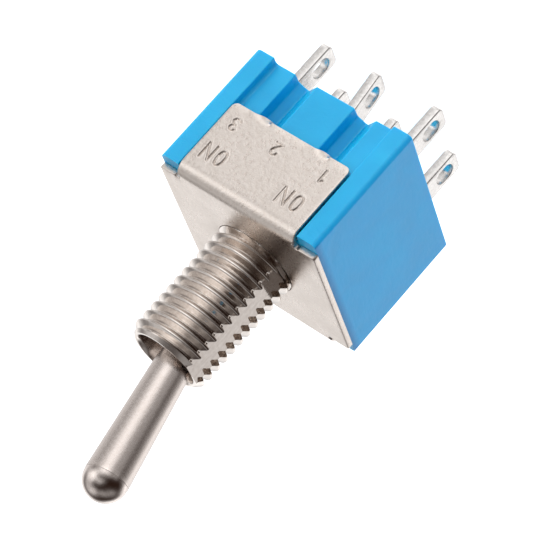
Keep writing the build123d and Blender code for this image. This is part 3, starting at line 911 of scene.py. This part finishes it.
# ----------------------------------------------------------------- springs
def coil(side_name):
    """A plunger's spring: the CAD coil as a piece of its own, carried with the lever."""
    src = nodes[f"spring_{side_name}"]
    o = bpy.data.objects.new(f"coil_{side_name}", src.data.copy())
    scene.collection.objects.link(o)
    paint(o, WIRE)
    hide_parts(f"spring_{side_name}")
    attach(o, "lever")
    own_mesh(o)
    return o


coil("front")
coil("rear")

# ------------------------------------------------------------------- floor
bm = bmesh.new()
R = 1.6
ring = [bm.verts.new((R * math.cos(2 * math.pi * i / 96), R * math.sin(2 * math.pi * i / 96), cad_lo.z)) for i in range(96)]
bm.faces.new(ring)
me = bpy.data.meshes.new("floor")
bm.to_mesh(me)
bm.free()
floor = bpy.data.objects.new("floor", me)
scene.collection.objects.link(floor)
fm = Mat("pale_floor")
fm.bsdf.inputs["Base Color"].default_value = (0.9, 0.9, 0.9, 1)
fm.bsdf.inputs["Roughness"].default_value = 0.9
fm.bsdf.inputs["Specular IOR Level"].default_value = 0.0
fm.bsdf.inputs["Emission Color"].default_value = (1, 1, 1, 1)
fm.bsdf.inputs["Emission Strength"].default_value = 0.85
paint(floor, fm.m)
floor.visible_glossy = False
floor.visible_shadow = False
floor.visible_diffuse = False

# ------------------------------------------------------------------- light
world = bpy.data.worlds.new("studio")
scene.world = world
world.use_nodes = True
wt = world.node_tree
wt.nodes.clear()
wout = wt.nodes.new("ShaderNodeOutputWorld")
bg = wt.nodes.new("ShaderNodeBackground")
wt.links.new(bg.outputs[0], wout.inputs[0])
dirn = wt.nodes.new("ShaderNodeTexCoord").outputs["Generated"]


def direction(az, el):
    a, e = math.radians(az), math.radians(el)
    return (math.cos(a) * math.cos(e), math.sin(a) * math.cos(e), math.sin(e))


def wmath(op, a, b=None):
    n = wt.nodes.new("ShaderNodeMath")
    n.operation = op
    for i, v in enumerate((a, b)):
        if v is None:
            continue
        if hasattr(v, "links"):
            wt.links.new(v, n.inputs[i])
        else:
            n.inputs[i].default_value = v
    return n.outputs[0]


def wmix(fac, a, b):
    n = wt.nodes.new("ShaderNodeMix")
    n.data_type = "RGBA"
    for i, v in ((0, fac), (6, a), (7, b)):
        if hasattr(v, "links"):
            wt.links.new(v, n.inputs[i])
        else:
            n.inputs[i].default_value = v
    return n.outputs[2]


# soft round glows of the tent, added together: (azimuth, elevation, brightness)
GLOW = 24.0
PATCHES = [
    (133, -17, 0.32), (-11, -36, 1.66), (-96, -34, 1.1), (90, 14, 1.09), (54, -53, 1.04), (57, 20, 0.97), (115, -18, 0.91),
    (-76, -23, 0.91), (-60, 29, 0.9), (-48, 13, 0.83), (17, 1, 0.79), (37, 10, 0.79), (87, -65, 0.75),
    (34, -76, 0.74), (82, -11, 0.72), (42, -32, 0.71), (-28, 23, 0.71), (74, -39, 0.71), (-63, -41, 0.69),
    (127, -35, 0.69), (-103, -82, 0.63), (22, -44, 0.6), (172, -71, 0.58), (102, -2, 0.58), (-43, -29, 0.57),
    (0, 82, 0.55), (-68, 3, 0.54), (-31, -50, 0.52), (-88, -7, 0.51), (32, 62, 0.49), (-93, 36, 0.48),
    (-40, 41, 0.47), (-108, -16, 0.41), (-148, -38, 0.39), (-15, 7, 0.37), (94, -28, 0.35), (2, -60, 0.35),
    (159, -43, 0.33), (-83, -55, 0.33), (-3, -9, 0.32), (50, -5, 0.28), (-8, 34, 0.27), (170, 65, 0.27),
    (-20, 55, 0.27), (12, 46, 0.26), (-128, -27, 0.23), (-51, -68, 0.22), (162, 28, 0.22), (70, 4, 0.21),
    (30, -15, 0.21), (-113, 25, 0.18), (150, 48, 0.13), (-55, -13, 0.12), (135, -8, 0.1), (142, 18, 0.09),
    (-23, -19, 0.09), (85, 71, 0.08), (-178, 39, 0.08), (62, -21, 0.07), (147, -24, 0.07),
]
AMBIENT, FILL = (0.030, 0.016, 0.011), 0.82
SIDE = (0.33, 0.31, 0.46)
total = None
for az, el, c in PATCHES:
    n = wt.nodes.new("ShaderNodeVectorMath")
    n.operation = "DOT_PRODUCT"
    wt.links.new(dirn, n.inputs[0])
    n.inputs[1].default_value = direction(az, el)
    glow = wmath("MULTIPLY", wmath("EXPONENT", wmath("MULTIPLY", wmath("SUBTRACT", n.outputs["Value"], 1.0), GLOW)), c)
    total = glow if total is None else wmath("ADD", total, glow)


def vmath(op, *values):
    n = wt.nodes.new("ShaderNodeVectorMath")
    n.operation = op
    for i, v in enumerate(values):
        if hasattr(v, "links"):
            wt.links.new(v, n.inputs[i])
        else:
            n.inputs[i].default_value = v
    return n.outputs[0]


col = vmath("ADD", total, AMBIENT)
path = wt.nodes.new("ShaderNodeLightPath")
# a wide fill from the -X side, which only matt surfaces show
n = wt.nodes.new("ShaderNodeVectorMath")
n.operation = "DOT_PRODUCT"
wt.links.new(dirn, n.inputs[0])
n.inputs[1].default_value = (-1, 0, 0)
side = wmath("POWER", wmath("MAXIMUM", n.outputs["Value"], 0.0), 2.0)
col = vmath("MULTIPLY_ADD", wmath("MULTIPLY", side, path.outputs["Is Diffuse Ray"]), SIDE, col)
col = wmix(path.outputs["Is Camera Ray"], col, (1, 1, 1, 1))
wt.links.new(col, bg.inputs[0])
# the tent lights matt surfaces more than its reflection in the metal shows
diffuse = path.outputs["Is Diffuse Ray"]
wt.links.new(wmath("ADD", wmath("MULTIPLY", diffuse, FILL), 1.0), bg.inputs[1])

# ------------------------------------------------------------------ camera
cam_data = bpy.data.cameras.new("camera")
cam = bpy.data.objects.new("camera", cam_data)
scene.collection.objects.link(cam)
scene.camera = cam
right = Vector((-0.73978245, 0.22120779, -0.63544396))
up = Vector((0.4590669, -0.52451526, -0.71703648))
back = Vector((-0.49191412, -0.8221623, 0.28647801))
m = Matrix((right, up, back)).transposed().to_4x4()
m.translation = Vector((-93.53303, -154.61311, 53.92501)) * MM
cam.matrix_world = m
cam_data.sensor_width = 36.0
cam_data.lens = 200.14
cam_data.clip_start, cam_data.clip_end = 0.01, 20
scene.view_settings.view_transform = "Standard"
scene.view_settings.look = "None"
